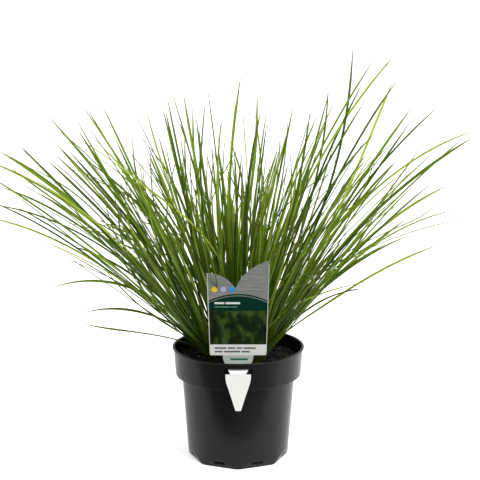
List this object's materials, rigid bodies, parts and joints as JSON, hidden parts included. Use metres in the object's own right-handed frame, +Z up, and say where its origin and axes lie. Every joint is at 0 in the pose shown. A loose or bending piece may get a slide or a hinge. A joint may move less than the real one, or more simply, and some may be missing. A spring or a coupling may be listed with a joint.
{
  "type": "potted lomandra",
  "caption": "Clump of fine grass-like leaves in a round plastic nursery pot, with dark bark mix and a push-in plant label.",
  "frame": {"origin": "centre of the pot's base, on the surface that it stands on", "axes": "+Z up, -Y towards the side with the label, +X to the right seen from that side"},
  "size_m": [0.5183, 0.4141, 0.438],
  "materials": {
    "pot_plastic": "black polypropylene with a satin sheen",
    "potting_mix": "damp dark bark mix",
    "label_card": "thin white printed plastic",
    "leaf": "smooth satin leaf, mid green with lime light faces"
  },
  "bodies": {
    "root": {"pot": "pot_plastic", "potting_mix": "potting_mix", "plant_label": "label_card", "tiller_01": "leaf", "tiller_02": "leaf", "tiller_03": "leaf", "tiller_04": "leaf", "tiller_05": "leaf", "tiller_06": "leaf", "tiller_07": "leaf", "tiller_08": "leaf", "tiller_09": "leaf", "tiller_10": "leaf", "tiller_11": "leaf", "tiller_12": "leaf", "tiller_13": "leaf", "tiller_14": "leaf", "tiller_15": "leaf", "tiller_16": "leaf", "tiller_17": "leaf", "tiller_18": "leaf", "tiller_19": "leaf", "tiller_20": "leaf"}
  },
  "joints": []
}
